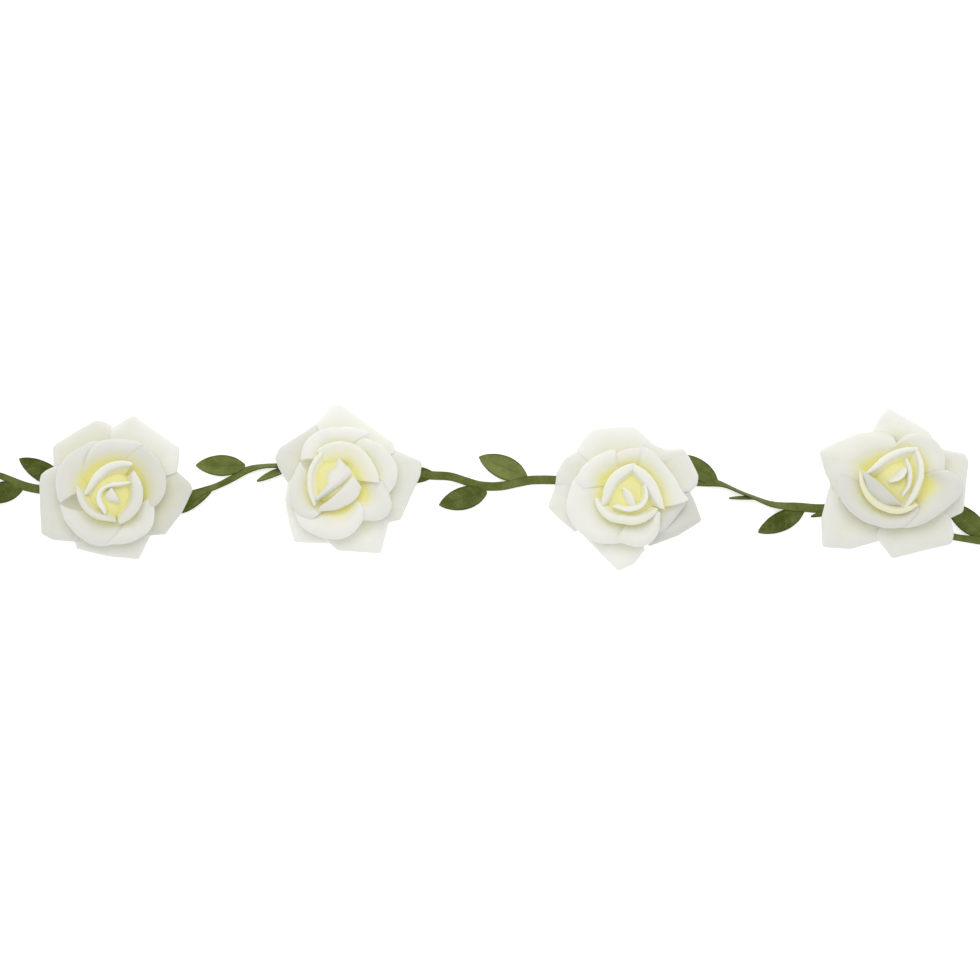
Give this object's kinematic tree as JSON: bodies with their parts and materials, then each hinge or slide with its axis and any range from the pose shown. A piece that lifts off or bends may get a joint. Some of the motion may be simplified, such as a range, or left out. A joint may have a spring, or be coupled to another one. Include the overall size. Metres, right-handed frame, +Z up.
{
  "type": "rose garland",
  "caption": "Stretch of artificial rose garland: white foam roses with pale yellow throats, glued in a row on a green leaf ribbon, lying flat.",
  "frame": {"origin": "on the surface that the garland lies on, under the middle of its bounding box", "axes": "+X along the garland, +Z up out of the blooms, +Y across the garland"},
  "size_m": [0.5071, 0.0825, 0.0315],
  "materials": {
    "foam": "soft matt foam, ivory white with a pale yellow throat",
    "ribbon": "olive green woven satin, pressed flat",
    "glue": "milky hot-melt glue"
  },
  "bodies": {
    "root": {"rose_1": "foam", "rose_2": "foam", "rose_3": "foam", "rose_4": "foam", "glue_dab_1": "glue", "glue_dab_2": "glue", "glue_dab_3": "glue", "glue_dab_4": "glue", "leaf_ribbon": "ribbon"}
  },
  "joints": []
}
